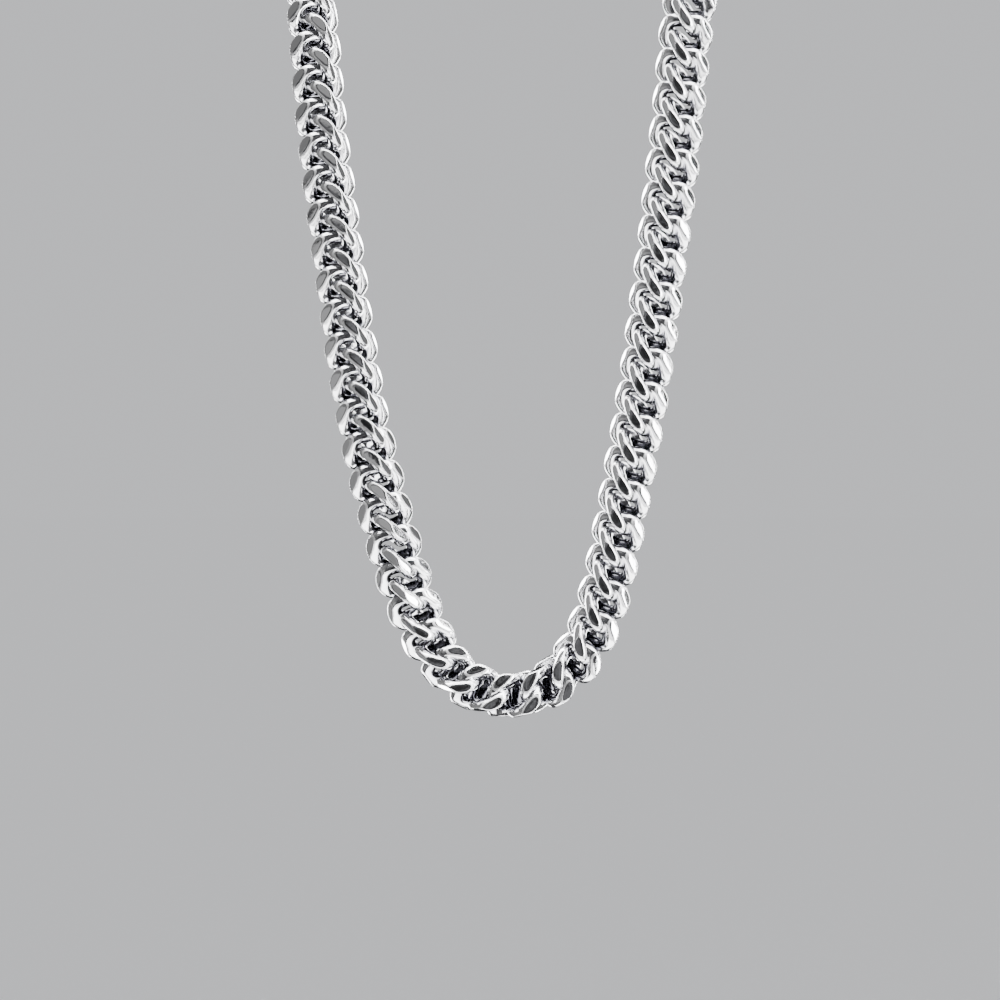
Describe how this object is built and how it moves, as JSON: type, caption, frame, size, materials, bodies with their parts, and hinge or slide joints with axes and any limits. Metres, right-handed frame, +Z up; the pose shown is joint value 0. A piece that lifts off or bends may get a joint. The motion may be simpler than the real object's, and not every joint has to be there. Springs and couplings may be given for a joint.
{
  "type": "franco chain necklace",
  "caption": "Square-section woven chain necklace of flat-cut leaning oval links, hanging in a narrow U, closed by a plain barrel clasp.",
  "frame": {"origin": "the inner side of the clasp's barrel, where it rests on the nape of the neck", "axes": "+X to the right as seen from the front (the wearer's left), +Y to the wearer's back, +Z up"},
  "size_m": [0.1143, 0.1167, 0.178],
  "materials": {
    "polished_steel": "mirror-polished, with flats cut on the corners"
  },
  "bodies": {
    "root": {"chain": "polished_steel", "clasp": "polished_steel"}
  },
  "joints": []
}
